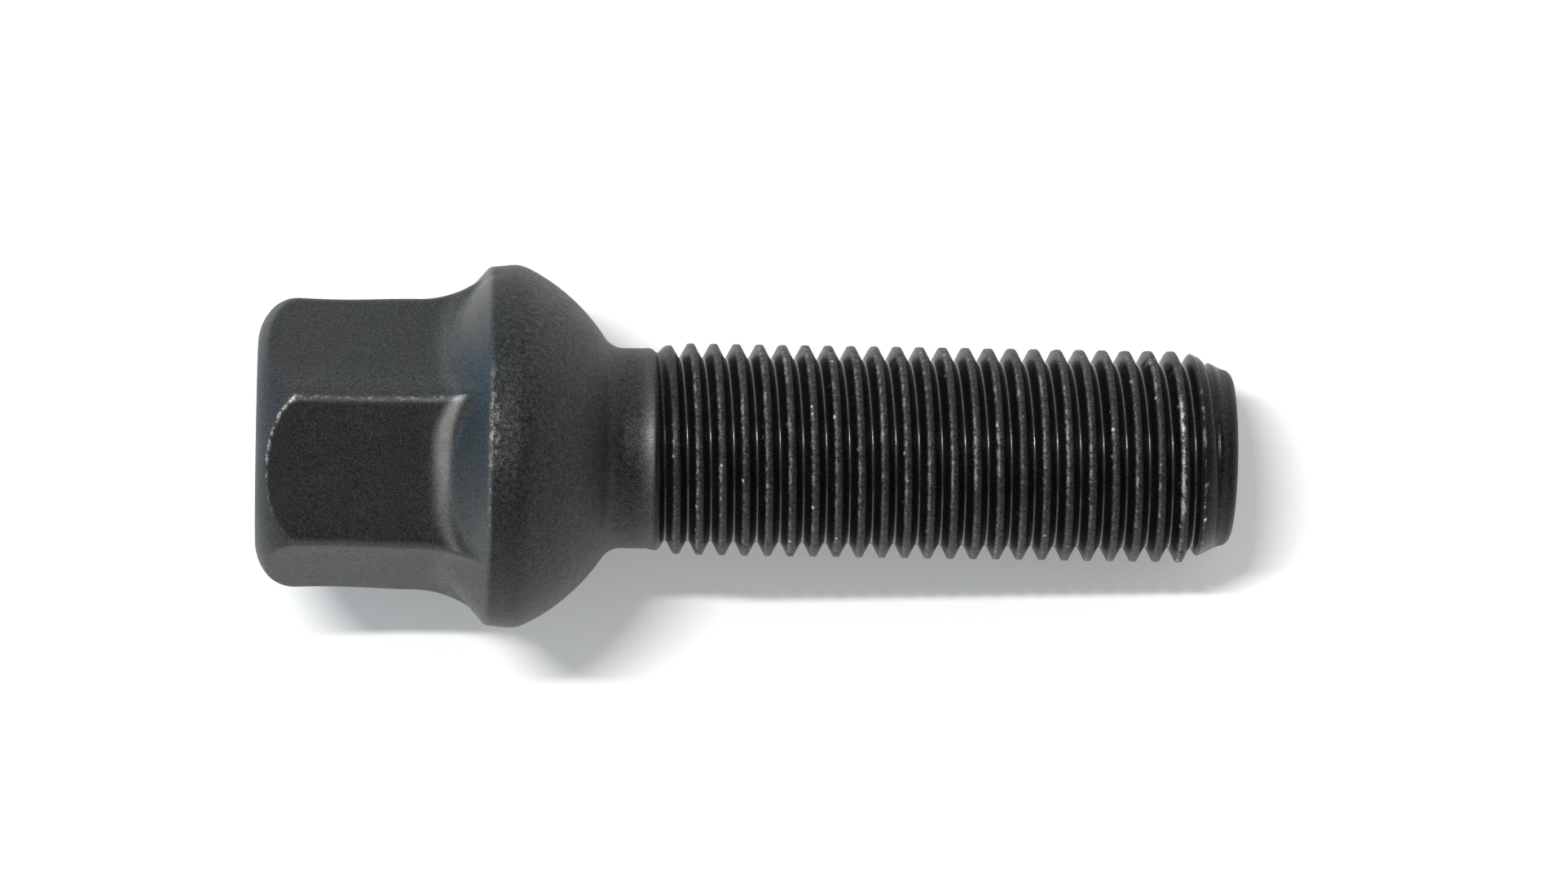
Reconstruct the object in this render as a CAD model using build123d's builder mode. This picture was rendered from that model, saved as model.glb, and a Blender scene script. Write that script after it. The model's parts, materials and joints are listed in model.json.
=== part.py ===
from build123d import *
import os
from math import cos, radians, sin, sqrt, tan

# One-piece wheel bolt: hexagon head, ball-seat collar, reduced neck and a fine-thread shank.
# It stands on the end of its head. +Z is its axis, from the head to the tip, and the origin
# is the middle of the head's end. All sizes are millimetres and degrees.

# Hexagon head, up to the edge of the collar
across_flats = 17.0
hex_corner_radius = 0.85
head_end_rounding = 3.4
head_height = 15.0
flare_height = 4.6
flare_fillet = 1.0

# Ball seat, and the collar that stops short of the ball's full width and tapers a little to its edge
ball_radius = 13.0
collar_inset = 1.1
collar_taper = 0.2
collar_land = 2.0
collar_back_angle = 49.0
collar_edge_radius = 0.4
seat_edge_radius = 2.0

# Neck between the ball seat and the thread
neck_diameter = 13.1
neck_length = 2.8
neck_fillet = 1.5

# Threaded shank, measured from where the ball meets the neck
shank_length = 40.7
thread_diameter = 13.85
thread_run_in = 1.8

# Tip
tip_chamfer_length = 3.0
tip_chamfer_angle = 25.5
tip_edge_chamfer = 0.5

# Radii and heights that follow from the sizes above
hex_sides = 6
half_corner = radians(180 / hex_sides)
flat_radius = across_flats / 2
hex_circumradius = flat_radius / cos(half_corner)
collar_radius = ball_radius - collar_inset
rim_radius = collar_radius - collar_taper
neck_radius = neck_diameter / 2
thread_radius = thread_diameter / 2
tip_radius = thread_radius - tip_chamfer_length * tan(radians(tip_chamfer_angle))
flare_start_height = head_height - flare_height
flare_end_radius = rim_radius * cos(half_corner)
cone_start_height = head_height - (rim_radius - neck_radius) / tan(radians(collar_back_angle))
ball_start_height = head_height + collar_land
ball_center_height = ball_start_height - sqrt(ball_radius**2 - collar_radius**2)
ball_end_height = ball_center_height + sqrt(ball_radius**2 - neck_radius**2)
thread_start_height = ball_end_height + neck_length
bolt_length = ball_end_height + shank_length
tip_start_height = bolt_length - tip_chamfer_length


def flat_plane(side):
    """Upright plane through the axis and the middle of one flat, with its x along the flat's normal."""
    angle = (2 * side + 1) * half_corner
    return Plane((0, 0, 0), (cos(angle), sin(angle), 0), (sin(angle), -cos(angle), 0))


with BuildPart() as wheel_bolt:
    # Round blank, wide enough to hold the whole hexagon
    Cylinder(across_flats, head_height, align=(Align.CENTER, Align.CENTER, Align.MIN))

    # Flats that run straight and then flare on an arc, their corners out to the collar's edge
    with BuildSketch(*[flat_plane(side) for side in range(hex_sides)]):
        with BuildLine():
            Line((flat_radius, 0), (flat_radius, flare_start_height))
            TangentArc(
                (flat_radius, flare_start_height),
                (flare_end_radius, head_height),
                tangent=(0, 1),
            )
            Polyline(
                (flare_end_radius, head_height),
                (across_flats, head_height),
                (across_flats, 0),
                (flat_radius, 0),
            )
        make_face()
    extrude(amount=across_flats, both=True, mode=Mode.SUBTRACT)
    fillet(edges().filter_by(Axis.Z), hex_corner_radius)

    # Rounded end of the head, turned on the hexagon so that it leaves an arc on each flat
    with BuildSketch(Plane.XZ):
        with BuildLine():
            Line((0, 0), (hex_circumradius - head_end_rounding, 0))
            JernArc(
                start=(hex_circumradius - head_end_rounding, 0),
                tangent=(1, 0),
                radius=head_end_rounding,
                arc_size=90,
            )
            Polyline(
                (hex_circumradius, head_end_rounding),
                (across_flats, head_height),
                (0, head_height),
                (0, 0),
            )
        make_face()
    revolve(axis=Axis.Z, mode=Mode.INTERSECT)

    # Collar, ball seat, neck, shank and tip as one turned form
    with BuildSketch(Plane.XZ):
        with BuildLine():
            Polyline(
                (0, cone_start_height),
                (neck_radius, cone_start_height),
                (rim_radius, head_height),
                (collar_radius, ball_start_height),
            )
            RadiusArc(
                (collar_radius, ball_start_height),
                (neck_radius, ball_end_height),
                -ball_radius,
            )
            Polyline(
                (neck_radius, ball_end_height),
                (neck_radius, thread_start_height),
                (thread_radius, thread_start_height + thread_run_in),
                (thread_radius, tip_start_height),
                (tip_radius, bolt_length),
                (0, bolt_length),
                (0, cone_start_height),
            )
        make_face()
        fillet(vertices().sort_by_distance((rim_radius, head_height))[0], collar_edge_radius)
        fillet(vertices().sort_by_distance((collar_radius, ball_start_height))[0], seat_edge_radius)
        fillet(vertices().sort_by_distance((neck_radius, ball_end_height))[0], neck_fillet)
        chamfer(vertices().sort_by_distance((tip_radius, bolt_length))[0], tip_edge_chamfer)
    revolve(axis=Axis.Z)

    # Fillet along the wavy line where the flared hexagon meets the back of the collar
    fillet(edges(Select.NEW), flare_fillet)

wheel_bolt.part.label = "wheel_bolt"
os.makedirs("parts", exist_ok=True)
export_step(wheel_bolt.part, "parts/wheel_bolt.step")
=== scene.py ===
import json
from math import cos, pi, radians, sin, sqrt, tan

import bpy
import numpy as np
from mathutils import Matrix, Vector, noise


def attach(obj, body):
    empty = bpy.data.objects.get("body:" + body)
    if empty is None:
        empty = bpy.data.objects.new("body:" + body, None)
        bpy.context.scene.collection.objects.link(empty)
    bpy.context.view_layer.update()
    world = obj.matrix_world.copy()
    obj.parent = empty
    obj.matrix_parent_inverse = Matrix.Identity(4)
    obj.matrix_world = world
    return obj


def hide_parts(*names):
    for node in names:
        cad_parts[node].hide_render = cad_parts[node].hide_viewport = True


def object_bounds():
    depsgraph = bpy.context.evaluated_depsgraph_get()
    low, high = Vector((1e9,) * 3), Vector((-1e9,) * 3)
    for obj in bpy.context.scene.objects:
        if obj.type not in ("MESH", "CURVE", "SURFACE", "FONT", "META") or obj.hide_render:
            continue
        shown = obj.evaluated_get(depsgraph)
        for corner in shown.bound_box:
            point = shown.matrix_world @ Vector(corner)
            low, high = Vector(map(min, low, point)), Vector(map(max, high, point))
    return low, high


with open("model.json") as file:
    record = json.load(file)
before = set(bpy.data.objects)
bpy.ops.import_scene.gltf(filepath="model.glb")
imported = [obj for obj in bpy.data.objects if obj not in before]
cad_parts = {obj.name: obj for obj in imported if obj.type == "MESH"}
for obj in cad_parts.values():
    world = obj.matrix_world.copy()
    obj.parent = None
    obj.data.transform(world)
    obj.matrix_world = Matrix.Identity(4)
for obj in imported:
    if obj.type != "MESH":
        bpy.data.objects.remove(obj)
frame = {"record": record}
cad_low, cad_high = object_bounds()

# A black wheel bolt, standing on the end of its head with its axis along +Z.
# Sizes are metres and angles are radians. The box and the thread's mount give the sizes that
# the solid states itself, and the others are its driving sizes.
MM = 0.001
mounts = {mount["name"]: mount for mount in frame["record"]["mounts"]}
bolt_length = cad_high.z - cad_low.z
thread_radius = mounts["thread"]["dims"]["r_mm"] * MM

# Hexagon head
hex_sides = 6
flat_radius = 8.5 * MM
hex_corner_radius = 0.85 * MM
head_end_rounding = 3.4 * MM
head_height = 15.0 * MM
flare_start = 10.4 * MM
flat_hollow = 0.11 * MM
flare_fillet = 1.0 * MM
end_edge_softness = 0.16 * MM

# Collar, ball seat and neck
ball_radius = 13.0 * MM
collar_radius = 11.9 * MM
collar_taper = 0.2 * MM
collar_land = 2.0 * MM
collar_back_angle = radians(49)
collar_edge_radius = 0.4 * MM
seat_edge_radius = 2.0 * MM
neck_radius = 6.55 * MM
neck_fillet = 1.5 * MM

# Thread and tip
pitch = 1.5 * MM
crest_width = 0.36 * MM
flank_angle = radians(28)
crest_edge_radius = 0.09 * MM
root_radius = 0.14 * MM
crest_height = 28.19 * MM
crest_angle = radians(168.1)
crest_run_in = (24.9 * MM, 28.2 * MM)
groove_run_in = (25.2 * MM, 26.8 * MM)
tip_start = bolt_length - 3.0 * MM
tip_angle = radians(25.5)
tip_edge = 0.65 * MM
tip_softness = 0.08 * MM

# Columns of the mesh round the axis, crowded at the hexagon's corners, and rows of the thread
columns = 204
corner_crowding = 0.72
rows_per_pitch = 14
helix_start = 24.95 * MM
helix_end = bolt_length - 0.9 * MM

# Rows of the head and the tip: the first height, the last one and how many, or shares of a radius
end_rows = 15
end_row_crowding = 1.5
flat_rows = 15
flat_row_crowding = 1.8
flat_rows_end = 9.5 * MM
flare_rows = (9.7 * MM, 14.7 * MM, 26)
rim_rows = (14.75 * MM, 15.345 * MM, 8)
ball_rows = (15.5 * MM, 22.32 * MM, 32)
neck_rows = (22.4 * MM, 24.2 * MM, 11)
neck_end_rows = (24.3 * MM, 24.7 * MM, 3)
end_face_shares = (0.2, 0.4, 0.6, 0.8)
tip_rows = 4
tip_edge_rows = 6
tip_face_shares = (0.97, 0.7, 0.35)

# Steps at which the profiles are worked out, and where the turned form and its joint begin and end
profile_step = 0.01 * MM
joint_step = 0.04 * MM
section_steps = 600
turned_start = 8.0 * MM
joint_end = 17.0 * MM

# Small damage: dents along the thread's crests and the collar's edge, and the forging's unevenness
seed = 7
crest_dents = 320
crest_dent_start = 27 * MM
crest_dent_offsets = (0.1 * MM, 0.3 * MM)
crest_dent_sizes = (0.10 * MM, 0.32 * MM)
crest_dent_depths = (0.015 * MM, 0.215 * MM)
edge_dents = 46
edge_dent_heights = (-0.1 * MM, 0.25 * MM)
edge_dent_sizes = (0.2 * MM, 0.7 * MM)
edge_dent_depths = (0.01 * MM, 0.05 * MM)
unevenness = 0.02 * MM
unevenness_size = 2.5 * MM

# Sides of the bolt, as angles round the axis: where it wears and is struck most, where painted highlights
# and glints are strongest, and where the collar's back has a painted highlight above and a painted lighter
# tone below
front_flat = 4
# Side of the flare's painted highlight, the roots' painted glint and the most worn corners and creases
wear_and_highlight_angle = radians(250)
wear_and_highlight_width = radians(25)
# Side where the crest edges and collar edge wear most, and where the crests and end strip carry painted
# highlight and reflection
edge_wear_and_highlight_angle = radians(262)
edge_wear_and_highlight_width = radians(28)
# Side of the neck's painted highlight
neck_highlight_angle = radians(254)
neck_highlight_width = radians(22)
struck_angle = radians(240)
struck_width = radians(30)
ball_struck_angle = radians(189)
ball_struck_width = radians(20)
# The collar's back: a painted highlight on its upper side, a painted lighter tone on its underside
polish_and_highlight_angle = radians(210)
polish_and_highlight_width = radians(50)
lit_underside_angle = radians(288)
lit_underside_width = radians(25)

# Heights between which the marks on the head begin and end
crease_marks_end = (3.2 * MM, 3.5 * MM)
flat_marks_end = (12.6 * MM, 13.4 * MM)
back_marks_end = (15.0 * MM, 15.3 * MM)
land_marks_start = (15.0 * MM, 15.2 * MM)
land_marks_end = (16.5 * MM, 18.5 * MM)
ball_marks_start = (16.5 * MM, 18.0 * MM)
ball_struck_height = 18.9 * MM
ball_struck_reach = 1.2 * MM
neck_marks_start = (20.5 * MM, 22.0 * MM)
# The flare's painted highlight: heights of its streak of sheen, placed where the lamp's reflection falls
flare_highlight_height = 12.1 * MM
flare_highlight_bend = 1.0 * MM
flare_highlight_rise = (1.3 * MM, 0.95 * MM)
flare_highlight_fall = 0.55 * MM

# Widths of the marks on the head, measured across its edges
flat_edge = (-0.1 * MM, 0.1 * MM)
strip_edge = (-0.2 * MM, 0.1 * MM)
crease_mark = 0.10 * MM
corner_mark = 0.22 * MM
dust_offset = 1.2 * MM
dust_mark = 0.9 * MM
# Widths of the collar's painted lighter underside and painted upper highlight
lit_underside_edge = (-0.9 * MM, 0.2 * MM)
lit_underside_rise = (0.0, 0.4)
polish_and_highlight_edge = (-1.5 * MM, 0.2 * MM)
rim_mark = 0.14 * MM
rim_patch_mark = 0.30 * MM

# Heights and widths of the marks on the shank
neck_marks_end = (helix_start, 25.6 * MM)
# Heights of the painted highlight at the neck's end
neck_highlight_rise = (24.2 * MM, 25.5 * MM)
neck_highlight_fall = (25.6 * MM, 25.75 * MM)
groove_marks_start = (25.6 * MM, 26.4 * MM)
groove_depth = (0.05 * MM, 0.25 * MM)
crest_edge_mark = 0.07 * MM
crest_mark = 0.20 * MM
root_mark = 0.07 * MM
last_crest_height = 60.0 * MM
last_crest_reach = 0.7 * MM
last_crest_offset = 0.10 * MM
last_crest_mark = 0.11 * MM
chip_offset = 0.15 * MM
chip_mark = 0.10 * MM
chamfer_marks = (tip_start + 0.9 * MM, tip_start + 1.3 * MM)

# Broken wear down to the metal. Of two values, the second is on the side that wears most; on the thread's
# crests that side is also a painted highlight where the lamp falls
corner_wear = (0.08, 0.26)
crease_wear = (0.10, 0.70)
crease_elsewhere = 0.35
rim_wear = (0.06, 0.26)
rim_patch_wear = 0.18
struck_wear = 0.08
crest_wear = 0.09
crest_edge_wear = (0.15, 0.20)
last_crest_wear = (0.12, 0.60)

# Even sheen of metal through the finish, in the same way; on the flare, the neck's end, the roots, the end
# strip and the collar's underside this sheen is a painted highlight, glint or reflection, on the flare
# partly real rub
flare_highlight_sheen = (0.195, 0.75)
flare_highlight_elsewhere = 0.045
corner_sheen = (0.05, 0.09)
crease_sheen = 0.05
rim_sheen = 0.08
strip_sheen = 0.03
lit_underside_sheen = 0.04
neck_highlight_sheen = (0.0624, 0.26)
crest_edge_sheen = 0.03
root_glint_sheen = 0.09

# How pale the finish is, and what makes it paler or darker: the crests paler partly as a painted highlight,
# the grooves darker as painted shade, the roots paler and glossier for their painted glint, and the
# collar's upper back, its underside and the end strip paler as painted highlight and reflection
plain_pale = 0.45
head_pale = 0.40
neck_pale = 0.34
tip_pale = 0.16
crest_pale = (0.20, 0.48)
root_pale = 0.95
back_highlight_paler = 0.19
lit_underside_paler = 0.44
struck_paler = 0.14
dust_and_reflection_paler = 0.08
land_darker = 0.05

# How smooth and how scuffed the finish is, and how strong its chipped spots are, which are painted bright
# as glints
polish_and_highlight_levels = (0.12, 1.0)
root_smoother = 0.3
tip_smooth = 0.2
land_scuff = (0.15, 0.80)
ball_scuff = 0.3
ball_struck_scuff = 0.9
dust_scuff = 0.4
thread_scuff = 0.6
chip_glint_strength = 1.2

# Colours of the finish from its darkest to its palest, of the metal under it and of its chipped spots,
# painted bright as glints
black_deep = (0.003, 0.003, 0.003, 1)
black_pale = (0.020, 0.025, 0.0195, 1)
bare_metal = (0.52, 0.508, 0.478, 1)
chip_glint_color = (0.85, 0.84, 0.80, 1)
chip_size = 0.16 * MM
chip_spacing = 1.15 * MM

# Grain of the finish: sizes of its patches, the values that most of a noise takes, and their effect
fine_grain = 0.11 * MM
medium_grain = 0.45 * MM
broad_grain = 3.0 * MM
pit_grain = 0.30 * MM
grain_roughness = 0.6
fine_values = (0.3, 0.7)
broad_values = (0.35, 0.65)
flicker = (0.6, 1.4)
speckle = (-0.8, 0.8)
clouds = (-0.12, 0.12)
pit_depths = (-1.2, 1.1)
wear_patches = (-0.2, 2.2)
wear_speckle = (-0.5, 0.5)
worn_through = (0.15, 0.9)
bare_metallic = 0.85
bare_smoother = 0.12
gloss_levels = (0.13, 0.97)
pit_gloss = (0.75, 1.25)
roughness_levels = (0.50, 0.20)
smoothest = 1.5
roughness_patches = (-0.05, 0.05)
pit_relief = 4.0
relief_height = 0.006 * MM

# Photograph's camera: where it stands from the axis, what it looks at, and its turn
camera_angle = radians(258.1)
camera_distance = 490 * MM
camera_height = 5.0 * MM
aim_height = 34.42 * MM
aim_above_axis = 0.4 * MM
camera_roll = radians(0.92)
frame_width = 102.4 * MM
sensor_width = 36.0

# Stage: the paper, the dark card behind the camera, the lamp and the light all round
sheet_start = -45 * MM
sheet_end = 300 * MM
sheet_height = 600 * MM
collar_contact = 16.0 * MM
thread_contact = 60.0 * MM
paper_gap = 0.05 * MM
paper_color = (0.95, 0.95, 0.95, 1)
paper_glow = 0.21
glow_color = (0.96, 1.0, 1.0, 1)
card_distance = 1.5
card_size = 3.8
card_aside = 0.4
card_color = (0.2, 0.2, 0.2, 1)
key_distance = 1.2
key_length = 0.40
key_width = 0.045
key_left = radians(15)
key_up = radians(15.8)
key_share = 0.66
soft_right = radians(32)
soft_up = radians(38)
soft_reach = (0.2, 1.0)
ambient_levels = (0.19, 0.66)
white = (1, 1, 1, 1)
sky_tint = (0.70, 0.98, 1.34, 1)
tint_up = 0.45
tint_left = 0.9
tint_reach = (0.45, 0.90)

# Values that follow from the sizes above
half_corner = pi / hex_sides
hex_circumradius = flat_radius / cos(half_corner)
end_face_radius = hex_circumradius - head_end_rounding
rim_radius = collar_radius - collar_taper
flare_reach = rim_radius * cos(half_corner) - flat_radius
flare_rise = head_height - flare_start
flare_radius = (flare_reach**2 + flare_rise**2) / (2 * flare_reach)
ball_center = head_height + collar_land - sqrt(ball_radius**2 - collar_radius**2)
plain_finish = {"pale": plain_pale}
tip_finish = {"pale": tip_pale, "smooth": tip_smooth}

axis = Vector((0, 0, 1))
toward_camera = Vector((cos(camera_angle), sin(camera_angle), 0))
image_up = axis.cross(toward_camera) * -1


def smoothstep(low, high, value):
    """0 below two limits, 1 above them and a soft step between them."""
    share = np.clip((value - low) / (high - low), 0, 1)
    return share * share * (3 - 2 * share)


def fade(low, high, value):
    """1 below two limits, 0 above them and a soft step between them."""
    return 1 - smoothstep(low, high, value)


def band(distance, width):
    """1 on a line and falling off at this distance from it."""
    return np.exp(-((distance / width) ** 2))


def between(limits, share):
    """The value that lies at this share of the way between two limits."""
    low, high = limits
    return low + (high - low) * share


def smooth_min(first, second, softness):
    """The smaller of two radii, with the edge between them rounded off."""
    overlap = np.maximum(softness - np.abs(first - second), 0)
    return np.minimum(first, second) - overlap**2 / (4 * softness)


def rolled(profile, step, ball, ends):
    """A profile with its hollows filled to where a ball of this radius rolls along its last axis."""
    reach = int(ball / step)
    lift = np.sqrt(np.maximum(ball**2 - (np.arange(-reach, reach + 1) * step) ** 2, 0))
    count = profile.shape[-1]
    margin = [(0, 0)] * (profile.ndim - 1) + [(reach, reach)]
    wide = np.pad(profile, margin, mode=ends)
    raised = np.max([wide[..., k : k + count] + lift[k] for k in range(len(lift))], axis=0)
    wide = np.pad(raised, margin, mode=ends)
    return np.min([wide[..., k : k + count] - lift[k] for k in range(len(lift))], axis=0)


def from_flat(angle):
    """Angle from the middle of the nearest flat."""
    return np.abs(angle % (2 * half_corner) - half_corner)


def on_front_flat(angle):
    """Whether an angle lies on the front flat, where the creases wear most and the flare carries its
    painted highlight.
    """
    return (angle // (2 * half_corner)) % hex_sides == front_flat


def hexagon(angle, flats):
    """Radius of a hexagon with rounded corners, its flats at this distance from the axis."""
    off_flat = from_flat(angle)
    off_corner = half_corner - off_flat
    straight = flats / np.cos(off_flat)
    center = (flats - hex_corner_radius) / cos(half_corner)
    sideways = center * np.sin(off_corner)
    inside = np.maximum(hex_corner_radius**2 - sideways**2, 0)
    corner = center * np.cos(off_corner) + np.sqrt(inside)
    arc_start = np.arctan((flats - hex_corner_radius) * tan(half_corner) / flats)
    return np.where(off_flat > arc_start, corner, straight)


def flared_flats(height):
    """Distance of the flats from the axis: slightly hollow, and then out on an arc."""
    along = np.clip(height / flare_start, 0, 1)
    hollow = flat_hollow * np.sin(pi * along) ** 2
    past = np.clip(height - flare_start, 0, flare_rise)
    flare = flare_radius - np.sqrt(flare_radius**2 - past**2)
    return flat_radius - hollow + flare


def rounded_end(height):
    """Radius of the turned rounding at the end of the head, which opens out past its own height."""
    below = np.clip(head_end_rounding - height, 0, head_end_rounding)
    past = np.maximum(height - head_end_rounding, 0)
    return end_face_radius + np.sqrt(head_end_rounding**2 - below**2) + past


def turned_profile():
    """Heights and radii of the turned form: back of the collar, its land, the ball seat and the neck."""
    heights = np.arange(turned_start, helix_start, profile_step)
    past_rim = heights - head_height
    cone = rim_radius + past_rim * tan(collar_back_angle)
    land = rim_radius + past_rim * collar_taper / collar_land
    ball = np.sqrt(np.maximum(ball_radius**2 - (heights - ball_center) ** 2, 0))
    rim = -rolled(-np.minimum(cone, land), profile_step, collar_edge_radius, "edge")
    seat = -rolled(-np.minimum(land, ball), profile_step, seat_edge_radius, "edge")
    neck = rolled(np.maximum(ball, neck_radius), profile_step, neck_fillet, "edge")
    reaches = [past_rim < collar_land / 3, past_rim < 2 * collar_land]
    return heights, np.select(reaches, [rim, seat], neck)


turned_heights, turned_radii = turned_profile()


def turned(height):
    """Radius of the turned form at this height."""
    return np.interp(height, turned_heights, turned_radii)


even_angles = np.arange(columns) * 2 * pi / columns


def column_angles(height):
    """Polar angles of the columns at this height, crowded at the corners as far as the ball seat."""
    crowding = corner_crowding * fade(head_height + collar_land, helix_start, height)
    return even_angles - crowding * np.sin(hex_sides * even_angles) / hex_sides


def thread_section():
    """Places across one pitch from a crest's middle, and the thread's radius there."""
    step = pitch / section_steps
    places = np.arange(-pitch / 2, pitch / 2, step)
    drop = (np.abs(places) - crest_width / 2) / tan(flank_angle)
    sharp = thread_radius - np.maximum(drop, 0)
    rooted = rolled(sharp, step, root_radius, "wrap")
    return places, -rolled(-rooted, step, crest_edge_radius, "wrap")


section_places, section_radii = thread_section()


def rows_by_shape(places, radii, count):
    """Places of rows across a profile, closer together where it bends."""
    slope = np.arctan(np.gradient(radii, places))
    length = np.hypot(np.gradient(places), np.gradient(radii))
    bend = np.abs(np.gradient(slope))
    travel = np.cumsum(length / length.sum() + bend / bend.sum())
    return np.interp(np.linspace(0, travel[-1], count, endpoint=False), travel, places)


def across_thread(angle, height):
    """Distance from the middle of the nearest crest, towards the tip."""
    from_crest = height - crest_height - pitch * (angle - crest_angle) / (2 * pi)
    return (from_crest + pitch / 2) % pitch - pitch / 2


def tip_cone(height):
    """Radius of the tip's chamfer."""
    return thread_radius - (height - tip_start) * tan(tip_angle)


def shank(angle, height):
    """Radius of the threaded shank, from the neck to the chamfered tip."""
    section = np.interp(across_thread(angle, height), section_places, section_radii, period=pitch)
    crest_share = smoothstep(*crest_run_in, height)
    groove_share = smoothstep(*groove_run_in, height)
    run_in = np.where(section > neck_radius, crest_share, groove_share)
    thread = neck_radius + run_in * (section - neck_radius)
    return smooth_min(thread, tip_cone(height), tip_softness)


def painted_neck_highlight(angle, height):
    """Painted highlight at the end of the neck: metal sheen up to the edge of the first groove, where the
    lamp's highlight falls.
    """
    patch = smoothstep(*neck_highlight_rise, height) ** 2 * fade(*neck_highlight_fall, height)
    return patch * between(neck_highlight_sheen, band(angle - neck_highlight_angle, neck_highlight_width))


def painted_flare_highlight(angle, height):
    """Painted highlight where the flats flare: a streak of metal sheen in the lamp's reflection, strongest
    on one side and partly real rub.
    """
    bend = (from_flat(angle) / half_corner) ** 4
    middle = flare_highlight_height + flare_highlight_bend * bend
    streak = smoothstep(middle - between(flare_highlight_rise, bend), middle, height) ** 2
    streak = streak * fade(middle, middle + flare_highlight_fall, height)
    sheen = between(flare_highlight_sheen, band(angle - wear_and_highlight_angle, wear_and_highlight_width))
    return streak * np.where(on_front_flat(angle), sheen, flare_highlight_elsewhere)


def shank_marks(angle, height):
    """How the finish is marked on the shank, with painted shade in the grooves, painted glints in the roots
    and on chipped spots, and a painted highlight at the neck's end.
    """
    across = across_thread(angle, height)
    depth = thread_radius - shank(angle, height)
    most = band(angle - edge_wear_and_highlight_angle, edge_wear_and_highlight_width)
    chamfer = smoothstep(*chamfer_marks, height)
    on_thread = smoothstep(*crest_run_in, height) * (1 - chamfer)
    crest = band(across + crest_width / 3, crest_mark)
    crest_edge = on_thread * band(across + crest_width / 2, crest_edge_mark)
    chip_glints = on_thread * band(across + chip_offset, chip_mark)
    root = on_thread * band(pitch / 2 - np.abs(across), root_mark)
    # Painted glint in the roots, strongest on the side where the lamp's highlight falls
    root_glint = root * band(angle - wear_and_highlight_angle, wear_and_highlight_width)
    groove = smoothstep(*groove_depth, depth) * smoothstep(*groove_marks_start, height)
    last_crest = band(height - last_crest_height, last_crest_reach)
    last_crest = last_crest * band(across + last_crest_offset, last_crest_mark)

    # The crests' edges wear more on the side where the lamp falls, partly a painted highlight
    wear = between(crest_edge_wear, most) * crest_edge + crest_wear * on_thread * crest
    wear = wear + between(last_crest_wear, most) * last_crest
    # Crests paler partly as a painted highlight, grooves dark as painted shade
    pale = between((between(crest_pale, crest) * (1 - groove), tip_pale), chamfer)
    pale = between((pale, neck_pale), fade(*neck_marks_end, height))
    # Painted highlight at the neck's end and painted glint in the roots, as metal sheen
    rub_and_highlight = painted_neck_highlight(angle, height) + crest_edge_sheen * crest_edge + root_glint_sheen * root_glint
    return {
        "wear": wear,
        "pale": np.maximum(pale, root_pale * root),
        "rub_and_highlight": rub_and_highlight,
        "smooth": groove + root_smoother * root,
        "scuff": thread_scuff * on_thread * (1 - groove),
        "chip_glints": chip_glint_strength * chip_glints,
    }


def flat_masks(angle, height, radius):
    """Where the hexagon's creases, corners, dust beside the front flat and end strip are, each from 0 to 1;
    the strip is made paler as a painted reflection.
    """
    past_crease = rounded_end(height) - hexagon(angle, flat_radius)
    on_flats = smoothstep(*flat_edge, past_crease) * fade(*flat_marks_end, height)
    off_corner = half_corner - from_flat(angle)
    off_front = np.abs(angle - (2 * front_flat + 1) * half_corner) - half_corner
    crease = band(past_crease, crease_mark) * fade(*crease_marks_end, height)
    crease = crease * np.where(on_front_flat(angle), 1.0, crease_elsewhere)
    corner = band(off_corner * radius, corner_mark) * on_flats
    dust = band(off_front * radius - dust_offset, dust_mark) * on_flats
    strip = fade(*strip_edge, past_crease) * band(angle - edge_wear_and_highlight_angle, edge_wear_and_highlight_width)
    return crease, corner, dust, strip


def back_masks(angle, height):
    """Where the back of the collar carries a painted highlight and a smoother finish on its upper side, and
    a painted lighter tone on its underside, each from 0 to 1.
    """
    past_flare = turned(height) - hexagon(angle, flared_flats(height))
    on_back = fade(*back_marks_end, height)
    polish_and_highlight = smoothstep(*polish_and_highlight_edge, past_flare) * on_back
    polish_and_highlight = polish_and_highlight * between(polish_and_highlight_levels, band(angle - polish_and_highlight_angle, polish_and_highlight_width))
    lit_underside = smoothstep(*lit_underside_edge, past_flare) * on_back
    lit_underside = smoothstep(*lit_underside_rise, lit_underside) ** 2 * lit_underside
    return polish_and_highlight, lit_underside * band(angle - lit_underside_angle, lit_underside_width)


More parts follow.
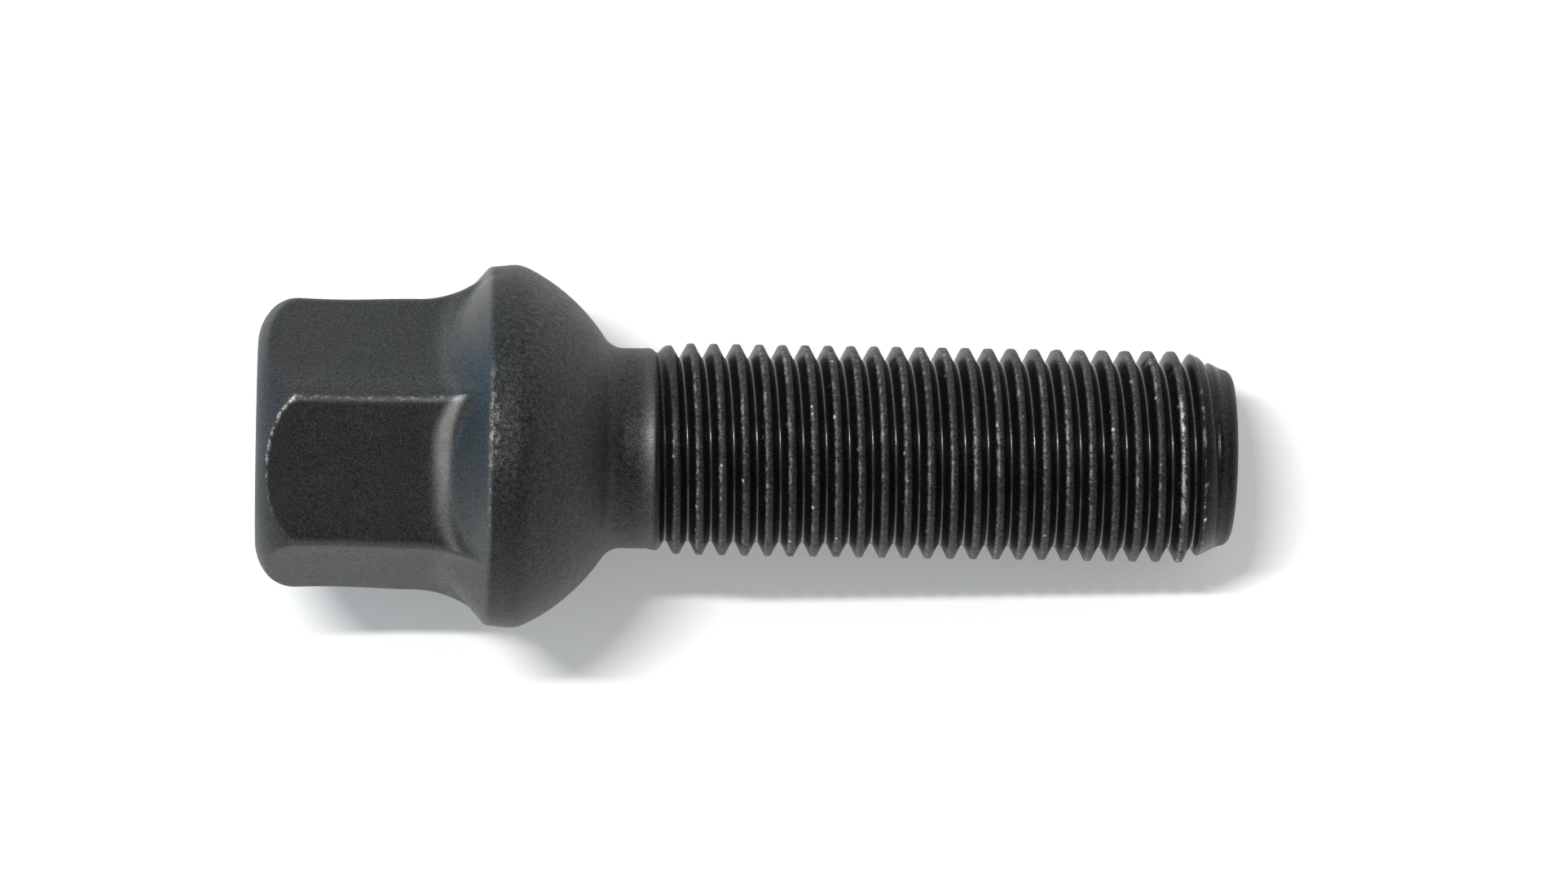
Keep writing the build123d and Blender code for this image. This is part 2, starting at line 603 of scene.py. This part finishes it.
def head_marks(angle, height, radius):
    """How the finish is marked on the head, the collar, the ball seat and the neck, painted highlights and
    reflections among the marks.
    """
    crease, corner, dust, strip = flat_masks(angle, height, radius)
    polish_and_highlight, lit_underside = back_masks(angle, height)
    most = band(angle - wear_and_highlight_angle, wear_and_highlight_width)
    edge_most = band(angle - edge_wear_and_highlight_angle, edge_wear_and_highlight_width)
    rim = band(height - head_height, rim_mark)
    rim_patch = band(height - head_height - rim_patch_mark, rim_patch_mark) * most**4
    land = smoothstep(*land_marks_start, height) * fade(*land_marks_end, height)
    struck = land * between(land_scuff, band(angle - struck_angle, struck_width))
    ball = smoothstep(*ball_marks_start, height)
    ball_struck = band(height - ball_struck_height, ball_struck_reach)
    ball_struck = ball_struck * band(angle - ball_struck_angle, ball_struck_width)
    neck = smoothstep(*neck_marks_start, height)

    wear = between(corner_wear, most) * corner + between(crease_wear, most) * crease
    wear = wear + between(rim_wear, edge_most) * rim
    wear = wear + rim_patch_wear * rim_patch + struck_wear * struck
    pale = between((head_pale, neck_pale), neck) - land_darker * land
    # Painted highlight on the collar's upper back and painted lighter tone on its underside
    pale = pale + back_highlight_paler * polish_and_highlight + lit_underside_paler * lit_underside
    # Dust on the flats, and the end strip paler as a painted reflection
    pale = pale + struck_paler * ball_struck + dust_and_reflection_paler * (dust + strip)
    # Painted highlights on the flare and at the neck's end, as metal sheen
    rub_and_highlight = painted_flare_highlight(angle, height) + painted_neck_highlight(angle, height)
    rub_and_highlight = rub_and_highlight + between(corner_sheen, most) * corner + crease_sheen * crease
    rub_and_highlight = rub_and_highlight + rim_sheen * edge_most * rim + strip_sheen * strip + lit_underside_sheen * lit_underside
    scuff = struck + ball_scuff * ball + ball_struck_scuff * ball_struck + dust_scuff * dust
    return {"wear": wear, "pale": pale, "rub_and_highlight": rub_and_highlight, "smooth": polish_and_highlight, "scuff": scuff}


def dented(angle, height, radius, spots):
    """Radii lowered by small dents. Each spot is its angle, its height, its size and its depth."""
    for spot_angle, spot_height, size, depth in spots:
        turn = (angle - spot_angle + pi) % (2 * pi) - pi
        far = (turn * radius) ** 2 + (height - spot_height) ** 2
        radius = radius - depth * np.exp(-far / size**2)
    return radius


def crest_spots():
    """Dents on the head-side edges of the thread's crests, few of them deep."""
    random = np.random.default_rng(seed)
    spots = []
    for _ in range(crest_dents):
        angle = random.uniform(0, 2 * pi)
        height = random.uniform(crest_dent_start, tip_start)
        height = height - across_thread(angle, height) - random.uniform(*crest_dent_offsets)
        size = random.uniform(*crest_dent_sizes)
        depth = between(crest_dent_depths, random.uniform(0, 1) ** 4)
        spots.append((angle, height, size, depth))
    return spots


def edge_spots():
    """Dents along the collar's edge."""
    random = np.random.default_rng(seed + 1)
    spots = []
    for _ in range(edge_dents):
        height = head_height + random.uniform(*edge_dent_heights)
        angle = random.uniform(0, 2 * pi)
        size = random.uniform(*edge_dent_sizes)
        depth = random.uniform(*edge_dent_depths)
        spots.append((angle, height, size, depth))
    return spots


def uneven(points):
    """Points moved in towards the axis by a soft unevenness."""
    moved = []
    for point in points:
        place = Vector(point)
        level = 0.5 + 0.5 * noise.noise(place / unevenness_size)
        outward = Vector((place.x, place.y, 0))
        share = unevenness * level / max(outward.length, unevenness_size)
        moved.append(place - outward * share)
    return np.array(moved)


def head_heights(hex_radius):
    """Heights of the rows from the end of the head up to the thread, for columns of these radii."""
    crease_turn = np.arcsin((hex_radius - end_face_radius) / head_end_rounding)
    crease = head_end_rounding * (1 - np.cos(crease_turn))
    heights = []
    for share in 1 - (1 - np.linspace(0, 1, end_rows)) ** end_row_crowding:
        heights.append(head_end_rounding * (1 - np.cos(crease_turn * share)))
    for share in np.linspace(0, 1, flat_rows + 1)[1:] ** flat_row_crowding:
        heights.append(crease + (flat_rows_end - crease) * share)
    for rows in (flare_rows, rim_rows, ball_rows, neck_rows, neck_end_rows):
        for height in np.linspace(*rows):
            heights.append(height * np.ones(columns))
    return np.array(heights)


def head_rows():
    """Angles, heights and radii of the rows from the end of the head up to the thread."""
    angle = column_angles(0.0)
    heights = head_heights(hexagon(angle, flat_radius))
    joint = np.arange(turned_start, joint_end, joint_step)
    flared = hexagon(angle[:, None], flared_flats(joint)[None, :])
    joined = np.maximum(flared, turned(joint)[None, :])
    joined = rolled(joined, joint_step, flare_fillet, "edge")
    low = heights < turned_start
    high = heights > head_height + collar_land / 2
    radii = np.array([np.interp(heights[:, j], joint, joined[j]) for j in range(columns)]).T
    radii = np.where(low, hexagon(angle[None, :], flared_flats(heights)), radii)
    radii = np.where(high, turned(heights), radii)
    radii = smooth_min(radii, rounded_end(heights), end_edge_softness)
    angles = np.array([column_angles(row.mean()) for row in heights])
    return angles, heights, radii


mark_names = ("wear", "pale", "rub_and_highlight", "smooth", "scuff", "chip_glints")


class Surface:
    """Vertices of the bolt with their marks, gathered piece by piece."""

    def __init__(self):
        self.points = []
        self.marks = {name: [] for name in mark_names}
        self.count = 0

    def add(self, angle, height, radius, marks):
        """Adds vertices and returns their numbers, in the shape of the radii."""
        points = np.stack([radius * np.cos(angle), radius * np.sin(angle), height], axis=-1)
        self.points.append(points.reshape(-1, 3))
        for name, values in self.marks.items():
            values.append(np.ravel(marks.get(name, 0) + 0 * radius))
        numbers = self.count + np.arange(radius.size).reshape(radius.shape)
        self.count += radius.size
        return numbers


def ring_faces(rings):
    """Faces between successive rings of vertex numbers."""
    rings = np.array(rings)
    after = np.roll(rings, -1, axis=1)
    return np.stack([rings[:-1], after[:-1], after[1:], rings[1:]], axis=-1).reshape(-1, 4).tolist()


def cap_faces(ring, center, upward):
    """Triangles from a ring of vertex numbers to the vertex in its middle."""
    after = np.roll(ring, -1)
    sides = (ring, after) if upward else (after, ring)
    return np.stack([np.full(columns, center), *sides], axis=-1).tolist()


def head_surface(surface):
    """The head, the collar, the ball seat and the neck. It returns the last ring and the faces."""
    inner = end_face_radius * np.array(end_face_shares)[:, None] * np.ones(columns)
    start = np.array([column_angles(0.0)] * len(inner))
    face = surface.add(start, np.zeros(inner.shape), inner, plain_finish)
    angles, heights, radii = head_rows()
    marks = head_marks(angles, heights, radii)
    side = surface.add(angles, heights, dented(angles, heights, radii, edge_spots()), marks)
    end_height = np.full(columns, helix_start)
    end_radius = shank(even_angles, end_height)
    end_marks = head_marks(even_angles, end_height, end_radius)
    last = surface.add(even_angles, end_height, end_radius, end_marks)
    center = surface.add(np.zeros(1), np.zeros(1), np.zeros(1), plain_finish)
    faces = ring_faces([*face, *side, last])
    faces += cap_faces(face[0], center[0], upward=False)
    return last, faces


def tip_surface(surface):
    """The chamfer past the last groove, its edge and the end face. It returns the first ring and faces."""
    heights = [*np.linspace(helix_end, bolt_length - tip_edge, tip_rows)]
    radii = [shank(even_angles, height) for height in heights]
    edge_radius = radii[-1]
    for turn in np.linspace(0, pi / 2, tip_edge_rows + 1)[1:]:
        heights.append(bolt_length - tip_edge * (1 - sin(turn)))
        radii.append(edge_radius - tip_edge * (1 - cos(turn)))
    for share in tip_face_shares:
        heights.append(bolt_length)
        radii.append((edge_radius - tip_edge) * share)
    heights = np.array(heights)[:, None] * np.ones(columns)
    angles = np.array([even_angles] * len(heights))
    rings = surface.add(angles, heights, np.array(radii), tip_finish)
    center = surface.add(np.zeros(1), np.full(1, bolt_length), np.zeros(1), tip_finish)
    return rings[0], ring_faces(rings) + cap_faces(rings[-1], center[0], upward=True)


def helix_heights(angles):
    """Heights of the thread's rows at these angles, from below its start to above its end."""
    spare_turns = 3
    places = rows_by_shape(section_places, section_radii, rows_per_pitch)
    first_crest = crest_height - pitch * crest_angle / (2 * pi)
    first_turn = int((helix_start - first_crest) / pitch) - spare_turns
    last_turn = int((helix_end - first_crest) / pitch) + spare_turns
    turns = np.arange(first_turn, last_turn)
    starts = first_crest + (turns[:, None] * pitch + places[None, :]).ravel()
    return starts[:, None] + pitch * angles[None, :] / (2 * pi)


def helix_faces(ids):
    """Faces between rows of vertex numbers, with triangles where two rows meet."""
    a, b = ids[:-1, :-1], ids[:-1, 1:]
    d, c = ids[1:, :-1], ids[1:, 1:]
    whole = (a != d) & (b != c)
    left = (a == d) & (b != c)
    right = (a != d) & (b == c)
    faces = np.stack([a[whole], b[whole], c[whole], d[whole]], axis=-1).tolist()
    faces += np.stack([a[left], b[left], c[left]], axis=-1).tolist()
    faces += np.stack([a[right], b[right], d[right]], axis=-1).tolist()
    return faces


def thread_surface(surface, ring_below, ring_above):
    """The thread in rows along its helix, cut off at the rings below and above it. It returns the faces."""
    snap = 0.02 * MM
    angles = np.arange(columns + 1) * 2 * pi / columns
    heights = helix_heights(angles)
    below = heights < helix_start + snap
    above = heights > helix_end - snap
    used = ~(below | above)[:, :-1]
    angle = np.broadcast_to(angles[None, :-1], used.shape)[used]
    height = heights[:, :-1][used]
    radius = dented(angle, height, shank(angle, height), crest_spots())
    ids = np.full(heights.shape, -1)
    ids[:, :-1][used] = surface.add(angle, height, radius, shank_marks(angle, height))
    ids[:-rows_per_pitch, -1] = ids[rows_per_pitch:, 0]
    wrap = np.arange(columns + 1) % columns
    ids = np.where(below, ring_below[wrap][None, :], ids)
    ids = np.where(above, ring_above[wrap][None, :], ids)
    return helix_faces(ids)


def bolt_mesh():
    """One closed mesh of the whole bolt, with its marks."""
    surface = Surface()
    ring_below, faces = head_surface(surface)
    ring_above, tip_faces = tip_surface(surface)
    faces += tip_faces
    faces += thread_surface(surface, ring_below, ring_above)
    mesh = bpy.data.meshes.new("wheel_bolt_visual")
    mesh.from_pydata(uneven(np.concatenate(surface.points)).tolist(), [], faces)
    for name, parts in surface.marks.items():
        attribute = mesh.attributes.new(name, "FLOAT", "POINT")
        attribute.data.foreach_set("value", np.concatenate(parts))
    mesh.shade_smooth()
    return mesh


def feed(tree, socket, value):
    """Links a socket to an input, or sets the input to a value."""
    if isinstance(value, bpy.types.NodeSocket):
        tree.links.new(value, socket)
    else:
        socket.default_value = value


def add_node(tree, kind, **values):
    """A new node. Each value is a socket to link from, or what the input of that name is set to."""
    node = tree.nodes.new(kind)
    for name, value in values.items():
        feed(tree, node.inputs[name.replace("_", " ")], value)
    return node


def math_node(tree, operation, first, second):
    """The result of an operation on two values."""
    node = tree.nodes.new("ShaderNodeMath")
    node.operation = operation
    feed(tree, node.inputs[0], first)
    feed(tree, node.inputs[1], second)
    return node.outputs["Value"]


def spread(tree, value, low, high, to_low, to_high):
    """A value between two limits, spread over another range."""
    node = add_node(
        tree,
        "ShaderNodeMapRange",
        Value=value,
        From_Min=low,
        From_Max=high,
        To_Min=to_low,
        To_Max=to_high,
    )
    return node.outputs["Result"]


def blend_colors(tree, share, first, second):
    """A colour that goes from the first to the second with this share."""
    node = tree.nodes.new("ShaderNodeMix")
    node.data_type = "RGBA"
    tree.links.new(share, node.inputs["Factor"])
    feed(tree, node.inputs[6], first)
    feed(tree, node.inputs[7], second)
    return node.outputs[2]


def grain(tree, place, size, detail):
    """Noise whose patches are about this size."""
    node = add_node(tree, "ShaderNodeTexNoise", Vector=place, Scale=1 / size, Detail=detail)
    node.inputs["Roughness"].default_value = grain_roughness
    return node.outputs["Fac"]


def mark(tree, name):
    """A value stored on the mesh, mostly from 0 to 1."""
    node = tree.nodes.new("ShaderNodeAttribute")
    node.attribute_name = name
    return node.outputs["Fac"]


def black_finish(tree, fine, broad, pits):
    """Colour of the black finish: paler where the pale mark is high, which holds painted highlights and
    reflections as well as dust, darkest where it is low, as painted shade in the grooves, and mottled where
    it was struck.
    """
    mottle = spread(tree, fine, *fine_values, *speckle)
    mottle = math_node(tree, "ADD", mottle, spread(tree, broad, *broad_values, *clouds))
    pale = math_node(tree, "ADD", mark(tree, "pale"), mottle)
    pale = math_node(tree, "ADD", pale, pits)
    return blend_colors(tree, pale, black_deep, black_pale)


def bare_share(tree, fine, medium, broad):
    """How far the finish is off the metal, in broken wear and in even sheen, much of the sheen painted
    highlights and glints.
    """
    patches = spread(tree, medium, *fine_values, *wear_patches)
    patches = math_node(tree, "ADD", patches, spread(tree, fine, *fine_values, *wear_speckle))
    patches = math_node(tree, "MULTIPLY", patches, spread(tree, broad, *broad_values, *flicker))
    wear = math_node(tree, "MULTIPLY", mark(tree, "wear"), patches)
    sheen = spread(tree, fine, *fine_values, *flicker)
    sheen = math_node(tree, "MULTIPLY", mark(tree, "rub_and_highlight"), sheen)
    return math_node(tree, "MAXIMUM", spread(tree, wear, *worn_through, 0, 1), sheen)


def chip_glint_share(tree, place):
    """Small chipped spots along the edges of the thread's crests, painted bright as glints."""
    dots = add_node(tree, "ShaderNodeTexVoronoi", Vector=place, Scale=1 / chip_spacing)
    reach = chip_size / chip_spacing
    chip_glints = spread(tree, dots.outputs["Distance"], reach / 2, reach, 1, 0)
    return math_node(tree, "MULTIPLY", chip_glints, mark(tree, "chip_glints"))


def gloss_level(tree, fine, pits):
    """How strongly the finish reflects, more where it is pale and less in its pits."""
    gloss = spread(tree, mark(tree, "pale"), 0, 1, *gloss_levels)
    gloss = math_node(tree, "MULTIPLY", gloss, spread(tree, fine, *fine_values, *flicker))
    return math_node(tree, "MULTIPLY", gloss, spread(tree, pits, -1, 1, *pit_gloss))


def roughness_level(tree, medium, bare):
    """How dull the finish is, less where it is smooth or worn to metal."""
    dull = spread(tree, mark(tree, "smooth"), 0, smoothest, *roughness_levels)
    dull = math_node(tree, "ADD", dull, spread(tree, medium, *fine_values, *roughness_patches))
    return math_node(tree, "SUBTRACT", dull, spread(tree, bare, 0, 1, 0, bare_smoother))


def steel_material():
    """Black finish on steel: mottled and grainy, darkest in the thread's grooves as painted shade, worn to
    metal on its edges, with painted highlights and glints.
    """
    material = bpy.data.materials.new("black_steel")
    material.use_nodes = True
    tree = material.node_tree
    shader = tree.nodes["Principled BSDF"]
    place = tree.nodes.new("ShaderNodeTexCoord").outputs["Object"]
    fine = grain(tree, place, fine_grain, 2)
    medium = grain(tree, place, medium_grain, 3)
    broad = grain(tree, place, broad_grain, 3)
    pits = spread(tree, grain(tree, place, pit_grain, 3), *broad_values, *pit_depths)
    pits = math_node(tree, "MULTIPLY", mark(tree, "scuff"), pits)

    bare = bare_share(tree, fine, medium, broad)
    color = blend_colors(tree, bare, black_finish(tree, fine, broad, pits), bare_metal)
    color = blend_colors(tree, chip_glint_share(tree, place), color, chip_glint_color)
    relief = math_node(tree, "ADD", fine, math_node(tree, "MULTIPLY", pits, pit_relief))
    bump = add_node(tree, "ShaderNodeBump", Height=relief, Strength=1.0, Distance=relief_height)
    feed(tree, shader.inputs["Base Color"], color)
    feed(tree, shader.inputs["Metallic"], spread(tree, bare, 0, 1, 0, bare_metallic))
    feed(tree, shader.inputs["Specular IOR Level"], gloss_level(tree, fine, pits))
    feed(tree, shader.inputs["Roughness"], roughness_level(tree, medium, bare))
    feed(tree, shader.inputs["Normal"], bump.outputs["Normal"])
    return material


def seen_directly(tree):
    """1 where a surface is seen by the camera, in a reflection or through glass, and 0 for its light."""
    path = tree.nodes.new("ShaderNodeLightPath")
    seen = math_node(tree, "MAXIMUM", path.outputs["Is Camera Ray"], path.outputs["Is Glossy Ray"])
    return math_node(tree, "MAXIMUM", seen, path.outputs["Is Transmission Ray"])


def sheet_material():
    """White paper that is seen from its front only."""
    material = bpy.data.materials.new("white_paper")
    material.use_nodes = True
    tree = material.node_tree
    tree.nodes.clear()
    paper = add_node(tree, "ShaderNodeBsdfDiffuse", Color=paper_color)
    strength = spread(tree, seen_directly(tree), 0, 1, 0, paper_glow)
    glow = add_node(tree, "ShaderNodeEmission", Color=glow_color, Strength=strength)
    both = tree.nodes.new("ShaderNodeAddShader")
    tree.links.new(paper.outputs["BSDF"], both.inputs[0])
    tree.links.new(glow.outputs["Emission"], both.inputs[1])
    clear = tree.nodes.new("ShaderNodeBsdfTransparent")
    geometry = tree.nodes.new("ShaderNodeNewGeometry")
    mix = tree.nodes.new("ShaderNodeMixShader")
    tree.links.new(geometry.outputs["Backfacing"], mix.inputs["Fac"])
    tree.links.new(both.outputs["Shader"], mix.inputs[1])
    tree.links.new(clear.outputs["BSDF"], mix.inputs[2])
    output = tree.nodes.new("ShaderNodeOutputMaterial")
    tree.links.new(mix.outputs["Shader"], output.inputs["Surface"])
    return material


def flat_sheet(name, middle, right, up, width, height, material):
    """A flat stage sheet, its front the side that right and up run anticlockwise on."""
    corners = []
    for u, v in ((-0.5, -0.5), (0.5, -0.5), (0.5, 0.5), (-0.5, 0.5)):
        corners.append(middle + right * u * width + up * v * height)
    mesh = bpy.data.meshes.new(name)
    mesh.from_pydata(corners, [], [(0, 1, 2, 3)])
    mesh.materials.append(material)
    sheet = bpy.data.objects.new(name, mesh)
    bpy.context.scene.collection.objects.link(sheet)
    return sheet


def paper_sheet():
    """The pale sheet that the bolt lies against. It touches the collar and the end of the thread."""
    at_collar = axis * collar_contact - toward_camera * collar_radius
    at_thread = axis * thread_contact - toward_camera * thread_radius
    along = (at_thread - at_collar).normalized()
    facing = along.cross(image_up)
    past_collar = (sheet_start + sheet_end) / 2 - collar_contact
    middle = at_collar + along * past_collar - facing * paper_gap
    width = sheet_end - sheet_start
    flat_sheet("paper_sheet", middle, along, image_up, width, sheet_height, sheet_material())
    return facing


def dark_card():
    """A dark card behind the camera, which shows only as the dark that the bolt's front reflects."""
    material = bpy.data.materials.new("dark_card")
    material.use_nodes = True
    shader = material.node_tree.nodes["Principled BSDF"]
    shader.inputs["Base Color"].default_value = card_color
    middle = toward_camera * card_distance + axis * (aim_height + card_aside)
    card = flat_sheet("dark_card", middle, image_up, axis, card_size, card_size, material)
    card.visible_camera = False
    card.visible_diffuse = False
    card.visible_transmission = False
    card.visible_shadow = False


def key_light(direction):
    """A strip lamp along the bolt, its level as a share of white."""
    lamp = bpy.data.lights.new("key", "AREA")
    lamp.shape = "RECTANGLE"
    lamp.size = key_length
    lamp.size_y = key_width
    lamp.energy = key_share * (pi * key_distance) ** 2
    light = bpy.data.objects.new("key", lamp)
    bpy.context.scene.collection.objects.link(light)
    along = (axis - direction * axis.dot(direction)).normalized()
    turn = Matrix((along, direction.cross(along), direction)).transposed()
    place = axis * aim_height + direction * key_distance
    light.matrix_world = Matrix.Translation(place) @ turn.to_4x4()


def toward_side(tree, direction, reach, levels):
    """A level of the world that follows how far its direction lies to this side."""
    toward = tree.nodes.new("ShaderNodeVectorMath")
    toward.operation = "DOT_PRODUCT"
    place = tree.nodes.new("ShaderNodeTexCoord").outputs["Generated"]
    feed(tree, toward.inputs[0], place)
    feed(tree, toward.inputs[1], direction.normalized())
    return spread(tree, toward.outputs["Value"], *reach, *levels)


def studio_world(soft_direction):
    """Soft light from all round, most of it from one side, seen as white and a little blue at another."""
    world = bpy.data.worlds.new("studio")
    bpy.context.scene.world = world
    world.use_nodes = True
    tree = world.node_tree
    background = tree.nodes["Background"]
    path = tree.nodes.new("ShaderNodeLightPath")
    unseen = math_node(tree, "SUBTRACT", 1, path.outputs["Is Camera Ray"])
    side = toward_side(tree, image_up * tint_up - axis * tint_left, tint_reach, (0, 1))
    tint = math_node(tree, "MULTIPLY", side, unseen)
    feed(tree, background.inputs["Color"], blend_colors(tree, tint, white, sky_tint))
    level = toward_side(tree, soft_direction, soft_reach, ambient_levels)
    seen = seen_directly(tree)
    unlit = math_node(tree, "SUBTRACT", 1, seen)
    strength = math_node(tree, "ADD", seen, math_node(tree, "MULTIPLY", unlit, level))
    feed(tree, background.inputs["Strength"], strength)


def photo_camera():
    """The camera at the photograph's viewing angle."""
    data = bpy.data.cameras.new("camera")
    data.sensor_width = sensor_width
    data.lens = sensor_width * camera_distance / frame_width
    camera = bpy.data.objects.new("camera", data)
    bpy.context.scene.collection.objects.link(camera)
    aim = axis * aim_height + image_up * aim_above_axis
    place = toward_camera * camera_distance + axis * camera_height + image_up * aim_above_axis
    back = (place - aim).normalized()
    level = (axis - back * axis.dot(back)).normalized()
    upright = back.cross(level)
    right = level * cos(camera_roll) + upright * sin(camera_roll)
    up = upright * cos(camera_roll) - level * sin(camera_roll)
    turn = Matrix((right, up, back)).transposed()
    camera.matrix_world = Matrix.Translation(place) @ turn.to_4x4()
    bpy.context.scene.camera = camera


bolt = bpy.data.objects.new("wheel_bolt_visual", bolt_mesh())
bpy.context.scene.collection.objects.link(bolt)
bolt.data.materials.append(steel_material())
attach(bolt, "root")
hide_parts("wheel_bolt")

paper_normal = paper_sheet()
key_direction = (paper_normal - axis * tan(key_left) + image_up * tan(key_up)).normalized()
soft_direction = (paper_normal + axis * tan(soft_right) + image_up * tan(soft_up)).normalized()
dark_card()
key_light(key_direction)
studio_world(soft_direction)
photo_camera()
bpy.context.scene.view_settings.view_transform = "Standard"
